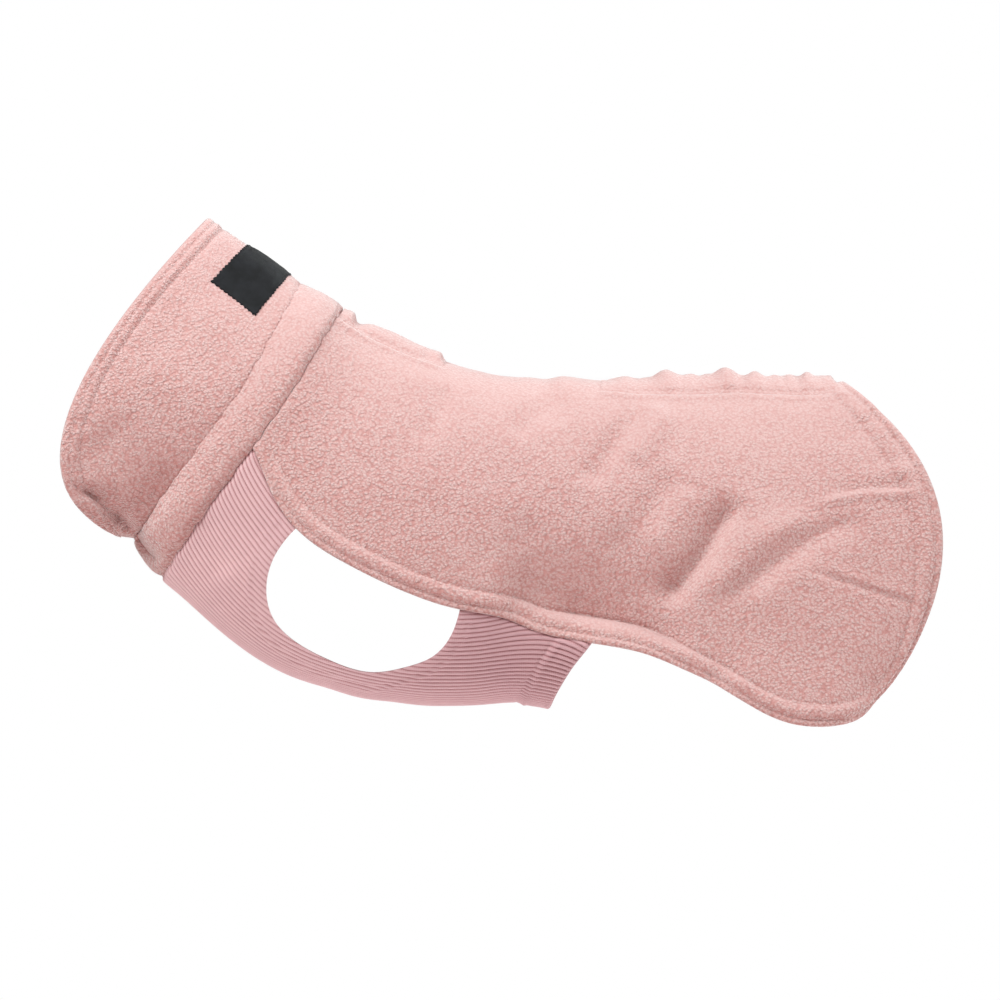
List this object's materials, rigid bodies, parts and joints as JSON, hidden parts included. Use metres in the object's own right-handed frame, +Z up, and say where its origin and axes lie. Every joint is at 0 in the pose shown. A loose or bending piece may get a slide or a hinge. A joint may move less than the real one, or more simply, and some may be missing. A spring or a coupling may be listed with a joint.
{
  "type": "dog sweater",
  "caption": "Fleece pullover coat for a small dog: high neck tube, puffed neck band, rib-knit chest with leg openings, gathered spine channel and rounded rear flaps, in worn form.",
  "frame": {"origin": "on the inside of the back, on the spine, where the wearer's back holds the sweater up", "axes": "+X towards the tail, +Y towards the dog's right, +Z up; the head end points along -X, and the sweater is symmetric about Y = 0"},
  "size_m": [0.484, 0.127, 0.2781],
  "materials": {
    "fleece": "polar fleece with a curly nap, dusty pink",
    "rib_knit": "rib knit, dusty pink",
    "label": "plain black woven label"
  },
  "bodies": {
    "root": {"collar": "fleece", "neck_band": "fleece", "back_panel": "fleece", "leash_placket": "fleece", "spine_channel": "fleece", "chest_panel": "rib_knit", "label": "label"}
  },
  "joints": []
}
